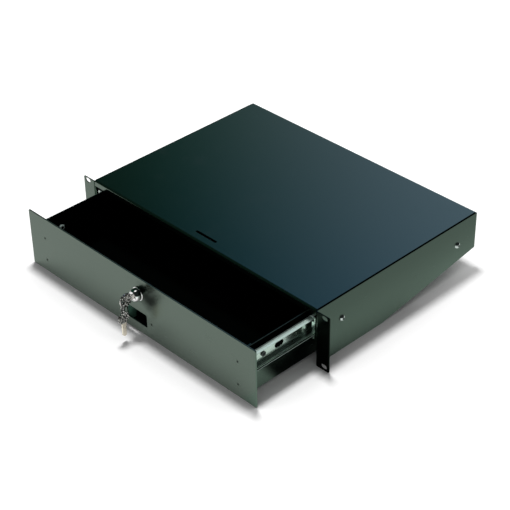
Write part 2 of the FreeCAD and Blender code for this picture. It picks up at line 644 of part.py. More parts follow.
def make_tray_back():
    """Rear wall: a plate standing between the walls, with a foot and side tabs welded to the tray."""
    back = body("TrayBack")
    face = f"( {TRAY_DEPTH} - tray_thick )"
    plate = sketch(back, "XZ_Plane", f"0 - {face}")
    rectangle(plate, (f"0 - {TRAY_IN}", TRAY_IN), (f"{TRAY_FLOOR} + tray_thick", f"{TRAY_RIM} - back_drop"))
    pad(back, plate, "tray_thick", towards_normal=False)
    foot = sketch(back, "XY_Plane", f"{TRAY_FLOOR} + tray_thick")
    side = f"( {TRAY_IN} - tray_flange )"
    rectangle(foot, (f"0 - {side}", side), (f"{face} - flange_width", face))
    pad(back, foot, "tray_thick")
    for sign in ("", "0 - "):
        tab = sketch(back, "XZ_Plane", f"0 - {face}")
        inner = f"{sign}( {TRAY_IN} - tray_thick )"
        outer = f"{sign}{TRAY_IN}"
        ends = (inner, outer) if not sign else (outer, inner)
        rectangle(tab, ends, (f"{TRAY_FLOOR} + tray_thick", f"{TRAY_RIM} - back_drop"))
        pad(back, tab, "flange_width")
    nuts = sketch(back, "YZ_Plane", f"0 - {TRAY_IN}")
    circle(nuts, "nut_across", INNER_FIXINGS[-1], SLIDE_Z)
    pocket(back, nuts, f"{TRAY_OUT} * 2", towards_normal=True)
    finish(back, "drawer_back", drawer=True)


def countersink(panel, x, z):
    """A conical seat in the front face for one flush screw."""
    before = panel.Tip.Shape.Volume
    cone = panel.newObject("PartDesign::SubtractiveCone", "Countersink")
    plane = next(part for part in panel.Origin.OriginFeatures if part.Role == "XZ_Plane")
    cone.AttachmentSupport = [(plane, "")]
    cone.MapMode = "FlatFace"
    bind(cone, "Radius1", "shank_radius + thread_gap")
    bind(cone, "Radius2", "sunk_radius + thread_gap")
    bind(cone, "Height", "sunk_depth")
    bind(cone, "AttachmentOffset.Base.x", x)
    bind(cone, "AttachmentOffset.Base.y", z)
    bind(cone, "AttachmentOffset.Base.z", "front_thick - sunk_depth")
    doc.recompute()
    if cone.Shape.Volume > before - 1e-6:
        raise RuntimeError(f"{cone.Name} cuts nothing")


def make_front_panel():
    """Flat front: lock hole, finger opening and countersunk screw holes."""
    panel = body("FrontPanel")
    plate = sketch(panel, "XZ_Plane", "0")
    rectangle(plate, (f"0 - {FRONT_HALF}", FRONT_HALF), (BOTTOM, TOP))
    pad(panel, plate, "front_thick")
    fillet(panel, "front_radius", [{"x": x, "z": z} for x in (f"0 - {FRONT_HALF}", FRONT_HALF)
                                   for z in (BOTTOM, TOP)])
    opening = sketch(panel, "XZ_Plane", "0")
    rectangle(opening, (f"0 - {FINGER_X}", FINGER_X), (FINGER_LOW, FINGER_HIGH))
    circle(opening, "lock_barrel_radius + hole_gap", "lock_side", LOCK_Z)
    for x, z in front_fixings() + guard_fixings():
        circle(opening, "shank_radius + hole_gap", x, z)
    pocket(panel, opening, "front_thick", towards_normal=True)
    fillet(panel, "finger_radius", [{"x": x, "z": z} for x in (f"0 - {FINGER_X}", FINGER_X)
                                    for z in (FINGER_LOW, FINGER_HIGH)])
    for x, z in front_fixings() + guard_fixings():
        countersink(panel, x, z)
    finish(panel, "front_panel", drawer=True)


def make_guard():
    """Hat-shaped strip behind the finger opening: two flanges, two legs and a back."""
    guard = body("Guard")
    foot = f"( {TRAY_FLOOR} + tray_thick )"
    outline = sketch(guard, "XY_Plane", foot)
    wide = f"( {FINGER_X} + guard_thick )"
    brim = f"( {FINGER_X} + guard_flange )"
    deep = "( guard_depth + guard_thick )"
    right = [(FINGER_X, "0"), (brim, "0"), (brim, "guard_thick"), (wide, "guard_thick"), (wide, deep)]
    left = [(f"0 - {x}", y) for x, y in reversed(right)]
    polygon(outline, right + left + [(f"0 - {FINGER_X}", "guard_depth"), (FINGER_X, "guard_depth")])
    pad(guard, outline, f"{FINGER_HIGH} + guard_overlap - {foot}")
    holes = sketch(guard, "XZ_Plane", "0")
    for x, z in guard_fixings():
        circle(holes, "shank_radius + hole_gap", x, z)
    pocket(guard, holes, "guard_thick")
    fillet(guard, "guard_bend", [{"x": wide, "y": deep}, {"x": f"0 - {wide}", "y": deep}])
    finish(guard, "finger_guard", drawer=True)


# ---------------------------------------------------------------- lock

PLUG_FACE = f"( {LOCK_FACE} + plug_recess )"
SQUARE_START = f"( {BARREL_END} + end_play )"
PLUG_STEP = f"( {BARREL_END} - plug_neck_length )"


def turned(owner, steps, x, z):
    """A stepped shaft along Y: each step is a radius and the places where it starts and ends."""
    for radius, start, end in steps:
        drawn = sketch(owner, "XZ_Plane", f"0 - {start}")
        circle(drawn, radius, x, z)
        pad(owner, drawn, f"{end} - {start}", towards_normal=False)


def bored(owner, steps, x, z):
    for radius, start, end in steps:
        drawn = sketch(owner, "XZ_Plane", f"0 - {start}")
        circle(drawn, radius, x, z)
        pocket(owner, drawn, f"{end} - {start}")


def square(drawn, side, x, z):
    rectangle(drawn, (f"{x} - {side} / 2", f"{x} + {side} / 2"), (f"{z} - {side} / 2", f"{z} + {side} / 2"))


def make_lock():
    """Housing and nut fixed in the panel; plug, cam and bolt turn together on the lock's axis."""
    housing = body("LockHousing")
    rim_start = f"( {FRONT_FACE} - lock_rim_length )"
    turned(housing, [("lock_head_radius", LOCK_FACE, rim_start), ("lock_rim_radius", rim_start, FRONT_FACE),
                     ("lock_barrel_radius", FRONT_FACE, BARREL_END)], "lock_side", LOCK_Z)
    bored(housing, [("plug_radius + plug_run", LOCK_FACE, PLUG_STEP),
                    ("plug_neck_radius + plug_run", PLUG_STEP, BARREL_END)], "lock_side", LOCK_Z)
    finish(housing, "lock_housing", drawer=True)
    nut = hex_nut("LockNut", "lock_nut_across", "lock_nut_thick", "lock_barrel_radius + thread_gap", "Y",
                  "lock_side", "0", LOCK_Z)
    finish(group("LockNuts", [nut]), "lock_nut", drawer=True)

    plug = body("LockPlug")
    turned(plug, [("plug_radius", PLUG_FACE, f"( {PLUG_STEP} - end_play )"),
                  ("plug_neck_radius", f"( {PLUG_STEP} - end_play )", SQUARE_START)], "lock_side", LOCK_Z)
    tail = sketch(plug, "XZ_Plane", f"0 - {SQUARE_START}")
    square(tail, "cam_square", "lock_side", LOCK_Z)
    pad(plug, tail, f"{CAM_REAR} - {SQUARE_START}", towards_normal=False)
    keyway = sketch(plug, "XZ_Plane", f"0 - {PLUG_FACE}")
    across = "( key_thick / 2 + key_gap )"
    tall = "( blade_width / 2 + key_gap )"
    rectangle(keyway, (f"lock_side - {across}", f"lock_side + {across}"),
              (f"{LOCK_Z} - {tall}", f"{LOCK_Z} + {tall}"))
    pocket(plug, keyway, "blade_length + end_play")
    bored(plug, [("cam_bolt_thread + thread_gap", f"( {CAM_REAR} - cam_bolt_depth - end_play )", CAM_REAR)],
          "lock_side", LOCK_Z)
    finish(plug, "lock_plug", drawer=True)

    cam = body("LockCam")
    arm = sketch(cam, "XZ_Plane", f"0 - {CAM_FRONT}")
    half = "( cam_width / 2 )"
    tip = "( lock_side - lock_drop + cam_tip_gap )"
    rectangle(arm, (tip, "lock_side"), (f"{LOCK_Z} - {half}", f"{LOCK_Z} + {half}"))
    pad(cam, arm, "cam_thick", towards_normal=False)
    turned(cam, [(half, CAM_FRONT, CAM_REAR)], "lock_side", LOCK_Z)
    hole = sketch(cam, "XZ_Plane", f"0 - {CAM_FRONT}")
    square(hole, "( cam_square + thread_gap * 2 )", "lock_side", LOCK_Z)
    pocket(cam, hole, "cam_thick")
    fillet(cam, "cam_corner", [{"x": tip, "z": f"{LOCK_Z} - {half}"}, {"x": tip, "z": f"{LOCK_Z} + {half}"}])
    finish(cam, "lock_cam", drawer=True)

    head = rod("CamBoltHead", "cam_bolt_radius", "Y", "lock_side", CAM_REAR, LOCK_Z, "cam_bolt_head")
    end = f"{CAM_REAR} - cam_bolt_depth"
    grip = "cam_bolt_depth + cam_bolt_head / 2"
    thread = rod("CamBoltThread", "cam_bolt_thread", "Y", "lock_side", end, LOCK_Z, grip)
    finish(group("CamBolts", [fuse("CamBolt", [head, thread])]), "cam_bolt", drawer=True)


def cut_key(owner, bow_radius, hole_radius, hole_at, tip, along):
    """A flat key in the YZ plane: round bow with a ring hole, and a blade with V-shaped bites.

    along turns (distance from the bow's middle towards the tip, sideways distance) into sketch places.
    """
    bow = sketch(owner, "YZ_Plane", "lock_side - key_thick / 2")
    circle(bow, bow_radius, *along("0", "0"))
    pad(owner, bow, "key_thick")
    blade = sketch(owner, "YZ_Plane", "lock_side - key_thick / 2")
    half = "( blade_width / 2 )"
    corners = [along("0", f"0 - {half}")]
    for number in range(int(amount("bite_count"))):
        foot = f"( {tip} - blade_point - bite_pitch * {int(amount('bite_count')) - number} )"
        corners.append(along(foot, f"0 - {half}"))
        corners.append(along(f"( {foot} + bite_pitch / 2 )", f"bite_depth - {half}"))
    corners += [along(f"( {tip} - blade_point )", f"0 - {half}"), along(tip, "0 - blade_width / 6"),
                along(tip, "blade_width / 6"), along(f"( {tip} - blade_point )", half), along("0", half)]
    polygon(blade, corners)
    pad(owner, blade, "key_thick")
    hole = sketch(owner, "YZ_Plane", "lock_side + key_thick / 2")
    circle(hole, hole_radius, *along(hole_at, "0"))
    pocket(owner, hole, "key_thick")


def make_ring(y, z):
    """A flat split ring about an axis along Y, with its section's corners taken off."""
    ring = body("KeyRing")
    section = sketch(ring, "YZ_Plane", "lock_side")
    bind(section, "AttachmentOffset.Base.y", z)
    flat = "( ring_half - ring_chamfer )"
    quarter = [("ring_half", flat), (flat, "ring_half")]
    corners = quarter + [(f"0 - {along}", out) for along, out in reversed(quarter)]
    corners += [(f"0 - {along}", f"0 - {out}") for along, out in quarter]
    corners += [(along, f"0 - {out}") for along, out in reversed(quarter)]
    polygon(section, [(f"{y} + {along}", f"ring_radius + {out}") for along, out in corners])
    spin = ring.newObject("PartDesign::Revolution", "KeyRingSpin")
    spin.Profile = section
    spin.ReferenceAxis = (section, ["H_Axis"])
    spin.Angle = 360
    doc.recompute()
    finish(ring, "key_ring", drawer=True)


def make_keys():
    """One key in the lock, and a ring through its bow that carries the spare."""
    key = body("LockKey")
    middle = f"( {LOCK_FACE} - key_shoulder_gap - bow_radius )"
    offset = "( bow_radius - bow_rim - bow_hole )"
    tip = f"( {LOCK_FACE} + blade_length - {middle} )"
    cut_key(key, "bow_radius", "bow_hole", f"( 0 - {offset} )", tip,
            lambda out, side: (f"{middle} + {out}", f"{LOCK_Z} + {side}"))
    finish(key, "lock_key", drawer=True)

    ring_y = f"( {middle} - {offset} )"
    top_wire = f"( {LOCK_Z} - bow_hole + ring_half + seat_gap )"
    make_ring(ring_y, f"( {top_wire} - ring_radius )")

    spare = body("SpareKey")
    hole_z = f"( {top_wire} - ring_radius * 2 - bow_hole + ring_half + seat_gap )"
    spare_offset = "( spare_bow_radius - bow_rim - bow_hole )"
    bow_z = f"( {hole_z} - {spare_offset} )"
    cut_key(spare, "spare_bow_radius", "bow_hole", f"( 0 - {spare_offset} )",
            "( spare_bow_radius + blade_length )",
            lambda out, side: (f"{ring_y} - ( {side} )", f"{bow_z} - ( {out} )"))
    finish(spare, "spare_key", drawer=True)


# ---------------------------------------------------------------- build, check and write

make_top_panel()
make_side_plates()
make_outer_rails()
make_inner_rails()
make_cages()
make_balls()
make_side_fasteners()
make_tray_fasteners()
make_tray()
make_front_brackets()
make_tray_back()
make_front_panel()
make_guard()
make_front_fasteners()
make_lock()
make_keys()
doc.recompute()

for thing in doc.Objects:
    if "Invalid" in thing.State or "Error" in thing.State:
        raise RuntimeError(f"{thing.Name} failed: {thing.State}")
for piece in pieces:
    if piece.Shape.isNull() or not piece.Shape.isValid():
        raise RuntimeError(f"{piece.Label} has no valid shape")
for piece in pieces:
    piece.Shape.exportStep(f"parts/{piece.Label}.step")
    print(piece.Label, len(piece.Shape.Solids), round(piece.Shape.Volume))
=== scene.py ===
import math

import bmesh
import bpy
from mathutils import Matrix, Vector


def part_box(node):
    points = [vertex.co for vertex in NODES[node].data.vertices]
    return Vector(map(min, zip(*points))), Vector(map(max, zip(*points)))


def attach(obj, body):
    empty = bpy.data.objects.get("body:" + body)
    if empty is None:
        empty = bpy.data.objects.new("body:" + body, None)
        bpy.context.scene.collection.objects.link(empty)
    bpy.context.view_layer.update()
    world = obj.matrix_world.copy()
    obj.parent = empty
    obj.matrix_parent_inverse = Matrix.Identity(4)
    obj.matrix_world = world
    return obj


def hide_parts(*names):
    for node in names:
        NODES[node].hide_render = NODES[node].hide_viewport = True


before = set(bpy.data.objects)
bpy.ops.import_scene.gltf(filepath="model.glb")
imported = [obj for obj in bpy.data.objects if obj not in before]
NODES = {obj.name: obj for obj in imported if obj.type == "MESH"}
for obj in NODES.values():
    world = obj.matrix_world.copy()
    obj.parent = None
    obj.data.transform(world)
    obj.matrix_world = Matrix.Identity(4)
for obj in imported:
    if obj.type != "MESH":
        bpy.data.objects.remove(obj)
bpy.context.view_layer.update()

# A lockable two-unit drawer for a 19 inch rack, part-way open. Places are in metres, in the frame's axes.
MM = 0.001


def middle(node):
    low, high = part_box(node)
    return (low + high) / 2


# ---------------------------------------------------------------- shader nodes

class Value:
    """A node's output, on which sums are written as ordinary expressions."""

    def __init__(self, paint, link):
        self.paint = paint
        self.link = link

    def __add__(self, other):
        return self.paint.maths("ADD", self, other)

    __radd__ = __add__

    def __sub__(self, other):
        return self.paint.maths("SUBTRACT", self, other)

    def __rsub__(self, other):
        return self.paint.maths("SUBTRACT", other, self)

    def __mul__(self, other):
        return self.paint.maths("MULTIPLY", self, other)

    __rmul__ = __mul__

    def __abs__(self):
        return self.paint.maths("ABSOLUTE", self, 0.0)


class Paint:
    """One finish: its node tree, and the few calls that fill it."""

    def __init__(self, name, tree=None):
        if tree is None:
            self.material = bpy.data.materials.new(name)
            self.material.use_nodes = True
            tree = self.material.node_tree
        self.tree = tree
        self.tree.nodes.clear()

    def node(self, kind, settings=None, sockets=None, out=0):
        """Add a node, set it up, fill its sockets with numbers or links, and give one of its outputs."""
        made = self.tree.nodes.new(kind)
        for name, setting in (settings or {}).items():
            setattr(made, name, setting)
        for name, given in (sockets or {}).items():
            if isinstance(given, Value):
                self.tree.links.new(given.link, made.inputs[name])
            else:
                made.inputs[name].default_value = given
        return Value(self, made.outputs[out]) if made.outputs else made

    def maths(self, operation, first, second, clamp=False):
        settings = {"operation": operation, "use_clamp": clamp}
        return self.node("ShaderNodeMath", settings, {0: first, 1: second})

    def highest(self, masks):
        """The largest of several masks."""
        top = masks[0]
        for mask in masks[1:]:
            top = self.maths("MAXIMUM", top, mask)
        return top

    def length(self, vector):
        return self.node("ShaderNodeVectorMath", {"operation": "LENGTH"}, {0: vector}, out="Value")

    def towards(self, vector, way):
        """How far a direction points a way: 1 along it, 0 across it and -1 against it."""
        settings = {"operation": "DOT_PRODUCT"}
        return self.node("ShaderNodeVectorMath", settings, {0: vector, 1: way}, out="Value")

    def place(self, scale=(1, 1, 1), centre=(0, 0, 0)):
        """The piece's own place in metres, about a centre and stretched by scale."""
        here = self.node("ShaderNodeTexCoord", out="Object")
        moved = self.node("ShaderNodeVectorMath", {"operation": "SUBTRACT"}, {0: here, 1: centre})
        return self.node("ShaderNodeVectorMath", {"operation": "MULTIPLY"}, {0: moved, 1: scale})

    def axis(self, place, name):
        return self.node("ShaderNodeSeparateXYZ", sockets={0: place}, out=name)

    def noise(self, place, scale, detail=3.0, rough=0.5):
        sockets = {"Vector": place, "Scale": scale, "Detail": detail, "Roughness": rough}
        return self.node("ShaderNodeTexNoise", sockets=sockets, out="Fac")

    def between(self, value, low, high):
        """0 below low, 1 above high and a smooth step between them."""
        settings = {"interpolation_type": "SMOOTHSTEP"}
        return self.node("ShaderNodeMapRange", settings, {"Value": value, "From Min": low, "From Max": high})

    def window(self, value, rise, fall):
        """0, then 1 from the end of a smooth rise to the start of a smooth fall, then 0 again."""
        return self.between(value, *rise) * (1.0 - self.between(value, *fall))

    def blend(self, factor, first, second):
        """A colour between two colours."""
        first, second = ((*given, 1.0) if isinstance(given, tuple) else given for given in (first, second))
        return self.node("ShaderNodeMix", {"data_type": "RGBA"}, {0: factor, 6: first, 7: second}, out=2)

    def bump(self, height, distance, strength=1.0, normal=None):
        sockets = {"Height": height, "Distance": distance, "Strength": strength}
        if normal is not None:
            sockets["Normal"] = normal
        return self.node("ShaderNodeBump", sockets=sockets)

    def close(self, sockets, inside=None, shade_shader=None):
        """The shader itself, mixed where inside is 1 with a second shader that paints shade, joined to the
        material's output.
        """
        shader = self.node("ShaderNodeBsdfPrincipled", sockets=sockets)
        if shade_shader:
            under = self.node("ShaderNodeBsdfPrincipled", sockets=shade_shader)
            shader = self.node("ShaderNodeMixShader", sockets={0: inside, 1: shader, 2: under})
        self.node("ShaderNodeOutputMaterial", sockets={"Surface": shader})
        return self.material


# ---------------------------------------------------------------- finishes

PAINT_BLACK = (0.0015, 0.0030, 0.0026)
PAINT_WORN = (0.010, 0.014, 0.013)
PAINT_SPECK = (0.05, 0.055, 0.055)
PAINT_SHADE = (0.0004, 0.0007, 0.0006, 1.0)
PAINT_GLINT = (0.70, 1.0, 0.77, 1.0)
PAINT_ROUGHNESS, ROOF_ROUGHNESS, SCREW_ROUGHNESS = 0.20, 0.12, 0.26
# The coat mirrors strongly, and where shade is painted on it, dull, it mirrors next to nothing.
COAT_IOR, SHADE_IOR, GUARD_IOR = 2.05, 1.02, 1.5
# Pale tones, painted light on the front of the finger guard.
GUARD_LIT_PALE, GUARD_LIT_DEEP = (0.14, 0.30, 0.22), (0.10, 0.24, 0.17)
ZINC_FILM_AND_HIGHLIGHT = (0.64, 0.80, 0.74)
ZINC_GRIME = (0.20, 0.20, 0.19)
TARNISH = (0.010, 0.010, 0.009)
RECESS_SHADE = (0.004, 0.005, 0.005)
BOW_BRIGHT, BOW_BLACK = (0.86, 0.84, 0.80), (0.012, 0.012, 0.010)
CHROME = (0.83, 0.83, 0.82)
BRIGHT_PLATE = (0.80, 0.80, 0.79)
BLACK_OXIDE = (0.06, 0.06, 0.06)
KEY_NICKEL, KEY_BRASS = (0.72, 0.70, 0.66), (0.86, 0.80, 0.66)
CHAIN_NICKEL = (0.86, 0.85, 0.82)
RAIL_ZINC, CAGE_ZINC, SMALL_ZINC = (0.80, 0.90, 0.85), (0.52, 0.54, 0.55), (0.60, 0.62, 0.62)
BALL_STEEL = (0.70, 0.70, 0.71)


def powder_coat(name, gloss, edges=None, matt=None):
    """Smooth black powder coat: faint orange peel, handling marks, and edges rubbed a little thin.

    gloss is the roughness of the coat where it is new. matt gives a mask, from the paint and its place,
    of painted shade: where the coat is left dull and quite black.
    """
    paint = Paint(name)
    place = paint.place()
    cloud = paint.noise(place, 9.0, 4.0, 0.6)
    peel = paint.noise(place, 420.0, 2.0, 0.45)
    grit = paint.noise(place, 1900.0, 1.0, 0.5)
    smear = paint.noise(paint.place((1.0, 1.0, 5.0)), 26.0, 5.0, 0.65)
    marks = paint.between(smear, 0.54, 0.74)
    specks = paint.between(paint.noise(place, 650.0, 0.0, 0.0), 0.80, 0.86) * 0.15
    tone = paint.blend(cloud, PAINT_BLACK, tuple(1.35 * part for part in PAINT_BLACK))
    tone = paint.blend(specks, tone, PAINT_SPECK)
    rough = gloss + 0.05 * cloud + 0.06 * marks + 0.25 * specks
    if edges:
        worn = edge_wear(paint, place, edges)
        tone = paint.blend(worn, tone, PAINT_WORN)
        rough = rough + 0.10 * worn
    skin = paint.bump(peel, 0.00004, 0.5)
    skin = paint.bump(grit, 0.000012, 0.5, skin)
    coat = {"Base Color": tone, "Roughness": rough, "Normal": skin, "IOR": COAT_IOR,
            "Specular Tint": PAINT_GLINT}
    if matt is None:
        return paint.close(coat)
    # The dull coat is painted shade: near black, and it hardly mirrors.
    dull = {"Base Color": PAINT_SHADE, "Roughness": rough + 0.30, "Normal": skin, "IOR": SHADE_IOR}
    return paint.close(coat, matt(paint, place), dull)


def painted_tray_shade(paint, place):
    """Painted shade: the inside of the tray, and the strip of its walls behind the rails and up to the rim,
    left dull and near black.
    """
    low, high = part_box("drawer_tray")
    within_wall = high.x - 1.4 * MM
    away = abs(paint.axis(place, "X"))
    height = paint.axis(place, "Z")
    outside = paint.between(away, within_wall, within_wall + 0.5 * MM)
    inside = (1.0 - outside) * paint.between(height, low.z + 0.9 * MM, low.z + 1.4 * MM)
    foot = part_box("right_slide_inner")[0].z + 1.0 * MM
    rim = paint.between(height, high.z - 0.5 * MM, high.z - 0.3 * MM)
    strip = paint.between(height, foot, foot + 0.5 * MM) * (1.0 - 0.4 * rim)
    return inside + outside * strip


def painted_lock_shade(paint, place):
    """A ragged dull patch of painted shade beside the lock, standing for the dark reflection of the lock and
    keys in the front.
    """
    centre = middle("lock_plug") + Vector((17 * MM, 0, 2 * MM))
    reach = 23 * MM
    away = paint.length(paint.place((1.0 / reach, 0.0, 1.0 / reach), tuple(centre)))
    ragged = paint.noise(place, 70.0, 5.0, 0.65)
    return 0.85 * (1.0 - paint.between(away + 0.7 * (ragged - 0.5), 0.10, 1.2))


def painted_seam_shade(paint, place):
    """The rounded side edges of the roof, where it lies on the walls, left dull and black as painted shade
    in the seam.
    """
    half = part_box("top_panel")[1].x
    away = abs(paint.axis(place, "X"))
    return paint.between(away, half - 1.9 * MM, half - 1.5 * MM)


def painted_ear_shade(paint, place):
    """The ear beside the drawer's open slide, left dull and near black as painted shade."""
    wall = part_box("top_panel")[1].x
    return 0.85 * paint.between(paint.axis(place, "X"), wall + 0.5 * MM, wall + 1.5 * MM)


def screw_recess_shade(spots, axis, radius):
    """A mask of painted shade in the recesses in the middle of screw heads that face along an axis."""
    flat = tuple(1.0 - abs(part) for part in axis)

    def shaded_hollows(paint, place):
        distances = [paint.length(paint.place(flat, tuple(spot))) for spot in spots]
        return paint.highest([1.0 - paint.between(away, radius - 0.2 * MM, radius) for away in distances])
    return shaded_hollows


def guard_lit_and_shaded_coat(name, front):
    """A satin grey-green tone, painted light on the front of the guard, turning raggedly to black towards
    the back as painted shade.
    """
    paint = Paint(name)
    place = paint.place()
    ragged = paint.noise(place, 180.0, 4.0, 0.65) - 0.5
    # Black towards the back is painted shade deeper in the opening.
    deeper_shade = paint.between(paint.axis(place, "Y") + 6 * MM * ragged, front + 10.5 * MM, front + 14.5 * MM)
    cloud = paint.noise(place, 70.0, 4.0, 0.6)
    lit_tone = paint.blend(cloud, GUARD_LIT_DEEP, GUARD_LIT_PALE)
    tone = paint.blend(deeper_shade, lit_tone, PAINT_BLACK)
    skin = paint.bump(paint.noise(place, 420.0, 2.0, 0.45), 0.00004, 0.5)
    return paint.close({"Base Color": tone, "Roughness": 0.34 + 0.1 * cloud, "Normal": skin,
                        "IOR": GUARD_IOR})


def edge_wear(paint, place, edges):
    """A ragged mask that is 1 at the given planes, as (axis, position, reach) in metres."""
    ragged = paint.noise(place, 160.0, 4.0, 0.7)
    worn = []
    for axis, position, reach in edges:
        away = abs(paint.axis(place, axis) - position)
        worn.append(1.0 - paint.between(away + (ragged - 0.5) * reach, 0.3 * reach, reach))
    return paint.highest(worn)


def rolled_zinc(name, grain, tone, gloss, stain=0.35, film_or_highlight=None):
    """Zinc plate on drawn strip: lines along its length, clouds of passivation, and a milky film.

    grain stretches the lines. The last argument gives a mask, from the paint and its place, of where the
    milky film lies; on the rails it also paints lines of highlight.
    """
    paint = Paint(name)
    lines = paint.noise(paint.place(grain), 1500.0, 3.0, 0.6)
    broad = paint.noise(paint.place(grain), 260.0, 2.0, 0.5)
    place = paint.place()
    cloud = paint.noise(place, 38.0, 4.0, 0.6)
    grime = paint.between(paint.noise(place, 75.0, 5.0, 0.7), 0.55, 0.78)
    warm = tuple(part * shade for part, shade in zip(tone, (0.97, 0.96, 0.91)))
    colour = paint.blend(paint.between(cloud, 0.35, 0.7), tone, warm)
    colour = paint.blend(stain * grime, colour, ZINC_GRIME)
    rough = gloss + 0.10 * lines + 0.10 * cloud + 0.12 * grime
    skin = paint.bump(lines, 0.00002, 0.45)
    skin = paint.bump(broad, 0.00005, 0.35, skin)
    metal = 1.0
    # The milky film is partly real and, on the rails, partly painted highlight.
    if film_or_highlight:
        milky_or_highlight = film_or_highlight(paint, place)
        colour = paint.blend(milky_or_highlight, colour, ZINC_FILM_AND_HIGHLIGHT)
        metal = 1.0 - milky_or_highlight * (0.60 + 0.2 * cloud)
    return paint.close({"Base Color": colour, "Roughness": rough, "Metallic": metal, "Normal": skin})


def rail_film_and_highlight(paint, place):
    """Pale matt film on the inner rails' upper flanges and rims, partly real film and partly painted
    highlight, and a pale line along the lower flange painted as a highlight.
    """
    low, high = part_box("right_slide_inner")
    away = abs(paint.axis(place, "X"))
    flange = paint.between(paint.axis(place, "Z"), high.z - 1.7 * MM, high.z - 1.5 * MM)
    rim = paint.between(away, high.x - 0.4 * MM, high.x - 0.2 * MM)
    # Where the painted highlight line runs along the lower flange.
    highlight_line_across = low.x + 0.6 * (high.x - low.x)
    line = paint.window(away, (highlight_line_across - 0.4 * MM, highlight_line_across - 0.2 * MM), (highlight_line_across + 0.2 * MM, highlight_line_across + 0.4 * MM))
    outer_member = paint.between(away, high.x + 0.1 * MM, high.x + 0.3 * MM)
    return paint.highest([flange, line, rim]) * (1.0 - outer_member)


def all_over(paint, place):
    """A film on the whole piece, thinner in places."""
    return paint.between(paint.noise(place, 300.0), 0.1, 0.4)


def plated(name, tone, gloss, scratch=0.5, tarnish=0.0, shaded_hollows=None):
    """Polished plate: fine crossing scratches, finger smudges, tiny pits and black tarnish.

    The last argument gives a mask, from the paint and its place, of recesses darkened with painted shade.
    """
    paint = Paint(name)
    place = paint.place()
    one = paint.between(paint.noise(paint.place((1, 0.05, 1), (0, 0, 0.004)), 2600.0, 2.0, 0.5), 0.62, 0.72)
    two = paint.between(paint.noise(paint.place((0.06, 1, 0.5)), 2100.0, 2.0, 0.5), 0.63, 0.73)
    scratches = paint.maths("MAXIMUM", one, two)
    smudge = paint.between(paint.noise(place, 190.0, 4.0, 0.65), 0.45, 0.75)
    pits = paint.between(paint.noise(place, 1500.0, 0.0, 0.0), 0.82, 0.86)
    dull = tuple(0.62 * part for part in tone)
    colour = paint.blend(0.5 * pits + 0.15 * smudge, tone, dull)
    if tarnish:
        black = paint.between(paint.noise(place, 480.0, 1.0, 0.5), 0.44, 0.52)
        colour = paint.blend(tarnish * black, colour, TARNISH)
    # The recesses take painted shade.
    if shaded_hollows:
        colour = paint.blend(shaded_hollows(paint, place), colour, RECESS_SHADE)
    rough = gloss + 0.10 * smudge + 0.12 * scratch * scratches + 0.2 * pits
    skin = paint.bump(scratches, 0.000006, scratch)
    return paint.close({"Base Color": colour, "Roughness": rough, "Metallic": 1.0, "Normal": skin})


def cut_steel(name, grain, tone, gloss, bow_from):
    """Key metal: milling lines and grime on the blade, and a bow of white metal pressed with facets.

    grain stretches the lines. bow_from gives the axis along the blade, and where the bow begins and is
    whole on it.
    """
    paint = Paint(name)
    lines = paint.noise(paint.place(grain), 1700.0, 2.0, 0.5)
    place = paint.place()
    cloud = paint.noise(place, 140.0, 5.0, 0.65)
    grime = paint.between(cloud, 0.52, 0.72)
    dark = tuple(0.45 * part for part in tone)
    colour = paint.blend(0.55 * grime, tone, dark)
    axis, begins, whole = bow_from
    bow = paint.maths("DIVIDE", paint.axis(place, axis) - begins, whole - begins, clamp=True)
    black = paint.between(paint.noise(place, 420.0, 1.0, 0.5), 0.45, 0.52)
    colour = paint.blend(bow, colour, paint.blend(black, BOW_BRIGHT, BOW_BLACK))
    rough = gloss + 0.12 * lines + 0.16 * grime
    facets = paint.node("ShaderNodeTexVoronoi", {"feature": "F1"}, {"Vector": place, "Scale": 520.0},
                        out="Distance")
    skin = paint.bump(lines, 0.000015, 0.5)
    skin = paint.bump(cloud, 0.00004, 0.3, skin)
    skin = paint.bump(facets * bow, 0.0014, 0.9, skin)
    return paint.close({"Base Color": colour, "Roughness": rough, "Metallic": 1.0, "Normal": skin})


def paint_node(piece, material):
    """Give a piece one finish in every slot."""
    piece.data.materials.clear()
    piece.data.materials.append(material)


# ---------------------------------------------------------------- modelling

def alone(piece):
    """Nothing but this piece selected and active."""
    bpy.ops.object.select_all(action="DESELECT")
    piece.select_set(True)
    bpy.context.view_layer.objects.active = piece


def copy_of(node, name):
    """A merged copy of a solid, its flat faces made whole."""
    source = NODES[node]
    piece = source.copy()
    piece.data = source.data.copy()
    piece.name = name
    piece.data.name = name
    piece.parent = None
    for key in list(piece.keys()):
        if key.startswith("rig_"):
            del piece[key]
    bpy.context.scene.collection.objects.link(piece)
    alone(piece)
    bpy.ops.object.mode_set(mode="EDIT")
    bpy.ops.mesh.select_all(action="SELECT")
    bpy.ops.mesh.remove_doubles(threshold=1e-6)
    bpy.ops.mesh.dissolve_limited(angle_limit=math.radians(0.5))
    bpy.ops.object.mode_set(mode="OBJECT")
    return piece


def apply(piece, kind, **settings):
    """Add a modifier with its settings, and apply it."""
    alone(piece)
    modifier = piece.modifiers.new(kind.title(), kind)
    for name, setting in settings.items():
        setattr(modifier, name, setting)
    bpy.ops.object.modifier_apply(modifier=modifier.name)


def smooth(piece, angle=35.0):
    """Smooth over gentle edges only, with the large flat faces kept flat."""
    alone(piece)
    bpy.ops.object.shade_smooth_by_angle(angle=math.radians(angle))
    apply(piece, "WEIGHTED_NORMAL", weight=100, keep_sharp=True)


def soften(piece, width, segments, angle):
    """Round the edges sharper than an angle in degrees, to a width in millimetres, and smooth the rest."""
    apply(piece, "BEVEL", width=width * MM, segments=segments, limit_method="ANGLE",
          angle_limit=math.radians(angle))
    smooth(piece)


def stand_for(piece, body, *nodes):
    """The piece rides on a body, and shows in place of these nodes."""
    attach(piece, body)
    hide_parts(*nodes)


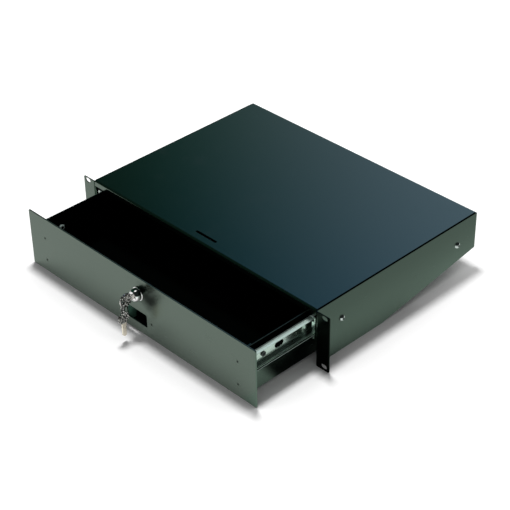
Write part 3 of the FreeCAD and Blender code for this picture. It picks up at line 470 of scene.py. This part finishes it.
def cross_tool(spot, direction, reach, width, depth):
    """A tapered cross for driving screws, set into a head from its top along a direction."""
    bpy.ops.object.select_all(action="DESELECT")
    bpy.ops.mesh.primitive_cube_add(size=1.0)
    tool = bpy.context.active_object
    tool.scale = (width, width, 2 * depth)
    bpy.ops.object.transform_apply(location=False, rotation=False, scale=True)
    bpy.ops.object.mode_set(mode="EDIT")
    for side in range(4):
        outward = Vector((math.cos(side * math.pi / 2), math.sin(side * math.pi / 2), 0))
        bpy.ops.mesh.select_all(action="DESELECT")
        mesh = bmesh.from_edit_mesh(tool.data)
        for face in mesh.faces:
            face.select = face.normal.dot(outward) > 0.9 and face.calc_center_median().dot(outward) > 0
        bmesh.update_edit_mesh(tool.data)
        bpy.ops.mesh.extrude_region_move(TRANSFORM_OT_translate={"value": outward * (reach - width / 2)})
    bpy.ops.mesh.select_all(action="DESELECT")
    mesh = bmesh.from_edit_mesh(tool.data)
    for vertex in mesh.verts:
        vertex.select = vertex.co.z < 0
    bmesh.update_edit_mesh(tool.data)
    bpy.ops.transform.resize(value=(0.45, 0.45, 1.0))
    bpy.ops.object.mode_set(mode="OBJECT")
    tool.rotation_mode = "QUATERNION"
    tool.rotation_quaternion = Vector(direction).to_track_quat("Z", "Y")
    tool.location = spot
    bpy.ops.object.transform_apply(location=True, rotation=True, scale=True)
    return tool


def joined(pieces, name):
    """Several pieces made one."""
    bpy.ops.object.select_all(action="DESELECT")
    for piece in pieces:
        piece.select_set(True)
    bpy.context.view_layer.objects.active = pieces[0]
    if len(pieces) > 1:
        bpy.ops.object.join()
    pieces[0].name = name
    return pieces[0]


def carve(piece, tool):
    """Cut the tool out of the piece, and take the tool away."""
    apply(piece, "BOOLEAN", operation="DIFFERENCE", object=tool, solver="EXACT")
    bpy.data.objects.remove(tool)


# ---------------------------------------------------------------- sheet metal

def make_sheet_metal():
    """Painted sheets with their cut edges softened, so that they catch a line of light."""
    front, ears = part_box("front_panel"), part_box("right_side_plate")
    handled, rubbed = 1.0 * MM, 1.2 * MM
    ear_end, foot = ears[1].x, ears[0].z
    worn = {
        "front_panel": [("X", front[0].x, rubbed), ("X", front[1].x, rubbed),
                        ("Z", front[1].z, handled), ("Z", front[0].z, rubbed)],
        "right_side_plate": [("X", ear_end, rubbed), ("Z", foot, rubbed)],
        "left_side_plate": [("X", -ear_end, rubbed), ("Z", foot, rubbed)],
        "drawer_tray": [("Z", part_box("drawer_tray")[1].z, handled)],
        "drawer_back": [("Z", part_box("drawer_back")[1].z, handled)],
    }
    # Masks of painted shade, where each coat is left dull and near black.
    matt = {"front_panel": painted_lock_shade, "top_panel": painted_seam_shade, "right_side_plate": painted_ear_shade,
            "drawer_tray": painted_tray_shade}
    housing = ("top_panel", "right_side_plate", "left_side_plate")
    for node in ("front_panel", *housing, "drawer_tray", "drawer_back", "finger_guard",
                 "left_front_bracket", "right_front_bracket"):
        sheet = copy_of(node, f"{node}_sheet")
        soften(sheet, width=0.25, segments=2, angle=50)
        if node == "finger_guard":
            finish = guard_lit_and_shaded_coat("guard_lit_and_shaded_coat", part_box(node)[0].y)
        else:
            gloss = ROOF_ROUGHNESS if node == "top_panel" else PAINT_ROUGHNESS
            finish = powder_coat(f"{node}_coat", gloss, worn.get(node), matt.get(node))
        paint_node(sheet, finish)
        stand_for(sheet, "chassis" if node in housing else "drawer", node)


# ---------------------------------------------------------------- screws

def head_spots(node, axis):
    """Where each screw of a node stands: the middle of every separate solid, on the head's side."""
    mesh = NODES[node].data
    islands = bmesh.new()
    islands.from_mesh(mesh)
    bmesh.ops.remove_doubles(islands, verts=islands.verts, dist=1e-6)
    spots = []
    left = set(islands.verts)
    while left:
        reached = {left.pop()}
        frontier = list(reached)
        while frontier:
            vertex = frontier.pop()
            for link in vertex.link_edges:
                other = link.other_vert(vertex)
                if other in left:
                    left.discard(other)
                    reached.add(other)
                    frontier.append(other)
        low = Vector([min(vertex.co[n] for vertex in reached) for n in range(3)])
        high = Vector([max(vertex.co[n] for vertex in reached) for n in range(3)])
        spot = (low + high) / 2
        top = max(reached, key=lambda vertex: vertex.co.dot(axis)).co.dot(axis)
        spots.append(spot + axis * (top - spot.dot(axis)))
    islands.free()
    return spots


def make_screws():
    """Cross recesses in every screw head, darkened with painted shade; reach, width and depth are in
    millimetres.
    """
    def bright(name, shaded_hollows):
        return plated(name, BRIGHT_PLATE, gloss=0.08, shaded_hollows=shaded_hollows)

    def black(name, shaded_hollows):
        return powder_coat(name, SCREW_ROUGHNESS, matt=shaded_hollows)

    def oxide(name, shaded_hollows):
        return plated(name, BLACK_OXIDE, gloss=0.30, scratch=0.3, shaded_hollows=shaded_hollows)

    kinds = [("right_side_screws", "chassis", (1, 0, 0), 2.6, 0.9, 1.7, bright),
             ("left_side_screws", "chassis", (-1, 0, 0), 2.6, 0.9, 1.7, bright),
             ("front_panel_screws", "drawer", (0, -1, 0), 2.2, 0.8, 1.2, black),
             ("guard_screws", "drawer", (0, -1, 0), 2.2, 0.8, 1.2, black),
             ("right_tray_screws", "drawer", (1, 0, 0), 2.2, 0.8, 1.0, oxide),
             ("left_tray_screws", "drawer", (-1, 0, 0), 2.2, 0.8, 1.0, oxide),
             ("cam_bolt", "lock_plug", (0, 1, 0), 2.6, 0.9, 1.4, oxide)]
    for node, body, axis, reach, width, depth, finish in kinds:
        screws = copy_of(node, f"{node}_driven")
        spots = head_spots(node, Vector(axis))
        tools = [cross_tool(spot, axis, reach * MM, width * MM, depth * MM) for spot in spots]
        carve(screws, joined(tools, "cross_tools"))
        smooth(screws, 30)
        paint_node(screws, finish(f"{node}_finish", screw_recess_shade(spots, axis, 0.7 * reach * MM)))
        stand_for(screws, body, node)


# ---------------------------------------------------------------- lock and keys

def slope_front(piece, width):
    """Turn the outer front edge of the lock's round head into a wide sloping rim."""
    centre = middle("lock_plug")
    front = min(vertex.co.y for vertex in piece.data.vertices)
    away = {vertex.index: math.hypot(vertex.co.x - centre.x, vertex.co.z - centre.z)
            for vertex in piece.data.vertices if vertex.co.y < front + 0.01 * MM}
    widest = max(away.values())
    outer = {index for index, distance in away.items() if distance > widest - 0.1 * MM}
    alone(piece)
    bpy.ops.object.mode_set(mode="EDIT")
    bpy.ops.mesh.select_mode(type="EDGE")
    bpy.ops.mesh.select_all(action="DESELECT")
    bpy.ops.object.mode_set(mode="OBJECT")
    for edge in piece.data.edges:
        edge.select = set(edge.vertices) <= outer
    bpy.ops.object.mode_set(mode="EDIT")
    bpy.ops.mesh.bevel(offset=width, segments=1, affect="EDGES")
    bpy.ops.object.mode_set(mode="OBJECT")


def make_lock():
    """Chromed housing with a sloping rim, and chromed plug, both with broken edges."""
    chrome = plated("lock_chrome", CHROME, gloss=0.06)
    for node, body, width in (("lock_housing", "drawer", 0.35), ("lock_plug", "lock_plug", 0.2)):
        piece = copy_of(node, f"{node}_turned")
        if node == "lock_housing":
            slope_front(piece, 2.3 * MM)
        soften(piece, width, segments=3, angle=50)
        paint_node(piece, chrome)
        stand_for(piece, body, node)


def make_keys():
    """Keys with softened edges and pressed bows, and the ball chain between them."""
    blade_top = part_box("spare_key")[0].z + 21 * MM
    bow_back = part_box("lock_plug")[0].y - 1 * MM
    level_bow = ("Y", bow_back, bow_back - 2 * MM)
    hanging_bow = ("Z", blade_top - 1 * MM, blade_top + 1 * MM)
    finishes = {"lock_key": cut_steel("key_nickel", (1, 0.03, 1), KEY_NICKEL, 0.10, level_bow),
                "spare_key": cut_steel("key_brass", (1, 1, 0.03), KEY_BRASS, 0.16, hanging_bow)}
    for node, finish in finishes.items():
        piece = copy_of(node, f"{node}_cut")
        soften(piece, width=0.35, segments=3, angle=40)
        paint_node(piece, finish)
        stand_for(piece, node, node)
    chain = bead_chain()
    paint_node(chain, plated("chain_nickel", CHAIN_NICKEL, gloss=0.06, tarnish=0.95))
    stand_for(chain, "key_ring", "key_ring")


def bead_chain():
    """A ball chain that hangs from the key's bow as two strands and carries the spare key."""
    low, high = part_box("key_ring")
    bead, pin_radius, turn, end_gap = 1.5 * MM, 0.525 * MM, 2.3 * MM, 1.1 * MM
    straight = (high.z - low.z) / 2 - end_gap - turn
    around = 4 * straight + 2 * math.pi * turn
    pitch = 2.15 * bead
    count = round(around / pitch)
    centre = middle("key_ring")
    spots = [centre + loop_spot(around * step / count, straight, turn) for step in range(count)]
    pieces = []
    for spot, following in zip(spots, spots[1:] + spots[:1]):
        bpy.ops.object.select_all(action="DESELECT")
        bpy.ops.mesh.primitive_uv_sphere_add(segments=20, ring_count=12, radius=bead, location=spot)
        pieces.append(bpy.context.active_object)
        bpy.ops.mesh.primitive_cylinder_add(vertices=10, radius=pin_radius,
                                            depth=(following - spot).length,
                                            location=(spot + following) / 2)
        pin = bpy.context.active_object
        pin.rotation_mode = "QUATERNION"
        pin.rotation_quaternion = (following - spot).to_track_quat("Z", "Y")
        pieces.append(pin)
    chain = joined(pieces, "key_chain")
    alone(chain)
    bpy.ops.object.transform_apply(location=True, rotation=True, scale=True)
    smooth(chain, 50)
    return chain


def loop_spot(along, straight, turn):
    """A place on an upright loop of two straights and two half turns, at a distance along it.

    straight is half the length of each straight, and turn the radius of the half turns.
    """
    half_turn = math.pi * turn
    side = 1 if along < 2 * straight + half_turn else -1
    rest = along if side == 1 else along - 2 * straight - half_turn
    if rest < 2 * straight:
        return Vector((side * turn, 0, side * (rest - straight)))
    angle = (rest - 2 * straight) / turn
    return Vector((side * turn * math.cos(angle), 0, side * (straight + turn * math.sin(angle))))


# ---------------------------------------------------------------- slides

def make_slides():
    """Zinc for the slides, spacers and nuts and for the lock's cam and nut, and polish for the balls."""
    along_slide, across_drawer = (1, 0.02, 1), (0.02, 1, 1)
    rails = rolled_zinc("rail_zinc", along_slide, RAIL_ZINC, gloss=0.10, stain=0.10, film_or_highlight=rail_film_and_highlight)
    cages = rolled_zinc("cage_zinc", along_slide, CAGE_ZINC, gloss=0.30)
    balls = plated("ball_polish", BALL_STEEL, gloss=0.05, scratch=0.1)
    small = rolled_zinc("small_zinc", across_drawer, SMALL_ZINC, gloss=0.26, film_or_highlight=all_over)
    cam = rolled_zinc("cam_zinc", across_drawer, SMALL_ZINC, gloss=0.26)
    for side in ("left", "right"):
        for part, finish in (("slide_outer", rails), ("slide_inner", rails), ("ball_cage", cages),
                             ("balls", balls), ("slide_spacers", small), ("tray_nuts", small)):
            paint_node(NODES[f"{side}_{part}"], finish)
    for node in ("front_panel_nuts", "guard_nuts"):
        paint_node(NODES[node], small)
    for node in ("lock_cam", "lock_nut"):
        paint_node(NODES[node], cam)


# ---------------------------------------------------------------- studio

FLOOR_SIZE = 30.0
FLOOR_WHITE = (0.86, 0.86, 0.86, 1.0)
WHITE = (1.0, 1.0, 1.0)


def make_floor():
    """A plain white floor that keeps the shadow and is clear from beneath; its glow is held back close to
    the object, a painted shadow.
    """
    floor_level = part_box("front_panel")[0].z - 0.2 * MM
    bpy.ops.object.select_all(action="DESELECT")
    bpy.ops.mesh.primitive_plane_add(size=FLOOR_SIZE, location=(0, 0, floor_level))
    floor = bpy.context.active_object
    floor.name = "studio_floor"
    paint = Paint("studio_white")
    camera = paint.node("ShaderNodeLightPath", out="Is Camera Ray")
    gloss = paint.node("ShaderNodeLightPath", out="Is Glossy Ray")
    glass = paint.node("ShaderNodeLightPath", out="Is Transmission Ray")
    open_air = paint.node("ShaderNodeAmbientOcclusion", {"samples": 12}, {"Distance": 0.12}, out="AO")
    matt = paint.node("ShaderNodeBsdfDiffuse", sockets={"Color": FLOOR_WHITE})
    far = paint.between(paint.length(paint.place()), 0.8, 2.6)
    # The glow fades where the object closes the floor in: painted shadow beside the cast one.
    lifted = (camera + glass) * (0.30 * paint.between(open_air, 0.50, 0.98) + 0.60 * far)
    glow = paint.node("ShaderNodeEmission", sockets={"Color": (*WHITE, 1.0), "Strength": lifted})
    seen = paint.node("ShaderNodeAddShader", sockets={0: matt, 1: glow})
    image = mirrored_floor(paint, open_air)
    above = paint.node("ShaderNodeMixShader", sockets={0: gloss, 1: seen, 2: image})
    beneath = paint.node("ShaderNodeNewGeometry", out="Backfacing")
    nothing = paint.node("ShaderNodeBsdfTransparent")
    surface = paint.node("ShaderNodeMixShader", sockets={0: beneath, 1: above, 2: nothing})
    paint.node("ShaderNodeOutputMaterial", sockets={"Surface": surface})
    paint_node(floor, paint.material)


def mirrored_floor(paint, open_air):
    """The floor as metal and paint mirror it, with painted shade: dim close under the object and to the
    right of the drawer, less dim by the front, and tinted green beside the drawer.
    """
    tray_side, ear_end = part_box("drawer_tray")[1].x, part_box("right_side_plate")[1].x
    across, back = (paint.axis(paint.place(), axis) for axis in "XY")
    beside = paint.between(across, tray_side - 11 * MM, tray_side + 9 * MM)
    aside = paint.between(across, tray_side - 11 * MM, tray_side + 99 * MM)
    aside = aside * paint.between(back, -30 * MM, 30 * MM)
    by_ear = beside * (1.0 - paint.between(across, ear_end - 6 * MM, ear_end + 21 * MM))
    by_ear = by_ear * paint.window(back, (-62 * MM, -40 * MM), (0.0, 30 * MM))
    by_front = beside * paint.window(back, (-113 * MM, -105 * MM), (-60 * MM, -40 * MM))
    # Painted shade in what the sides mirror, darkest by the ear.
    bright = paint.highest([0.02 + 0.98 * paint.between(open_air, 0.30, 0.76), 0.45 * by_front])
    bright = bright * (1.0 - 0.46 * aside) * (1.0 - 0.97 * by_ear)
    # A painted green tint in the floor that the drawer's side mirrors.
    hue = paint.blend(beside, WHITE, (0.87, 1.0, 0.95))
    return paint.node("ShaderNodeEmission", sockets={"Color": hue, "Strength": bright})


# Each colour of the glow behind the object: its heading in degrees from straight back towards the right,
# its level in the dark, in the lit room and straight at the glow, and where it begins and where it is
# whole, as the cosine of the angle to the heading.
GLOW = {"Red": (4, 0.006, 0.58, 0.75, 0.48, 0.70),
        "Green": (12, 0.032, 0.78, 0.89, 0.34, 0.66),
        "Blue": (36, 0.020, 1.02, 1.02, 0.0, 0.33)}
ROOM_DARK = (0.012, 0.016, 0.015)
OVERHEAD = (-0.153, 0.091, 0.984)
OVERHEAD_EDGE = (0.972, 0.988)
OVERHEAD_LIGHT = (1.2, 1.2, 1.2)
FILL = (0.30, 0.30, 0.30)


def make_world():
    """White to the camera, with a matt fill.

    Reflections see a dark studio with a cool glow behind and to the left, and a soft light overhead.
    """
    world = bpy.data.worlds.new("studio")
    bpy.context.scene.world = world
    world.use_nodes = True
    sky = Paint("studio", world.node_tree)
    towards = sky.node("ShaderNodeTexCoord", out="Generated")
    parts = {}
    for part, (heading, dark, lit, straight, begins, whole) in GLOW.items():
        turned = math.radians(heading)
        sweep = sky.towards(towards, (math.sin(turned), math.cos(turned), 0.0))
        near, nearer = sky.between(sweep, begins, whole), sky.between(sweep, whole - 0.1, 1.0)
        parts[part] = dark + (lit - dark) * near + (straight - lit) * nearer
    glow = sky.node("ShaderNodeCombineColor", sockets=parts)
    left = 1.0 - sky.between(sky.axis(towards, "X"), -0.36, -0.12)
    room = sky.blend(left, ROOM_DARK, glow)
    overhead = sky.between(sky.towards(towards, OVERHEAD), *OVERHEAD_EDGE)
    room = sky.blend(overhead, room, OVERHEAD_LIGHT)
    camera = sky.node("ShaderNodeLightPath", out="Is Camera Ray")
    gloss = sky.node("ShaderNodeLightPath", out="Is Glossy Ray")
    colour = sky.blend(gloss, sky.blend(camera, FILL, WHITE), room)
    background = sky.node("ShaderNodeBackground", sockets={"Color": colour, "Strength": 1.0})
    sky.node("ShaderNodeOutputWorld", sockets={"Surface": background})


LAMP_SPOT, LAMP_AIM = (-0.42, 0.35, 2.7), (0, 0.1, 0)
LAMP_WIDTH, LAMP_POWER = 0.55, 62.0


def make_lamp():
    """One round lamp high above, left out of reflections, where the light overhead stands for it."""
    lamp = bpy.data.lights.new("key_lamp", "AREA")
    lamp.shape = "DISK"
    lamp.size = LAMP_WIDTH
    lamp.energy = LAMP_POWER
    holder = bpy.data.objects.new("key_lamp", lamp)
    holder.location = LAMP_SPOT
    holder.rotation_mode = "QUATERNION"
    holder.rotation_quaternion = (Vector(LAMP_SPOT) - Vector(LAMP_AIM)).to_track_quat("Z", "Y")
    holder.visible_glossy = False
    bpy.context.scene.collection.objects.link(holder)


CAMERA_SPOT = (1.2511, -1.0904, 1.1702)
CAMERA_TURN = (55.241, 0.793, 45.765)
CAMERA_LENS, CAMERA_FILM = 106.22, 36.0


def make_camera():
    """The camera at its place, turned by degrees, with its lens and film width in millimetres."""
    lens = bpy.data.cameras.new("view")
    lens.lens = CAMERA_LENS
    lens.sensor_width = CAMERA_FILM
    holder = bpy.data.objects.new("view", lens)
    holder.location = CAMERA_SPOT
    holder.rotation_euler = [math.radians(angle) for angle in CAMERA_TURN]
    bpy.context.scene.collection.objects.link(holder)
    bpy.context.scene.camera = holder


make_sheet_metal()
make_screws()
make_lock()
make_keys()
make_slides()
make_floor()
make_world()
make_lamp()
make_camera()
bpy.context.scene.view_settings.view_transform = "Standard"
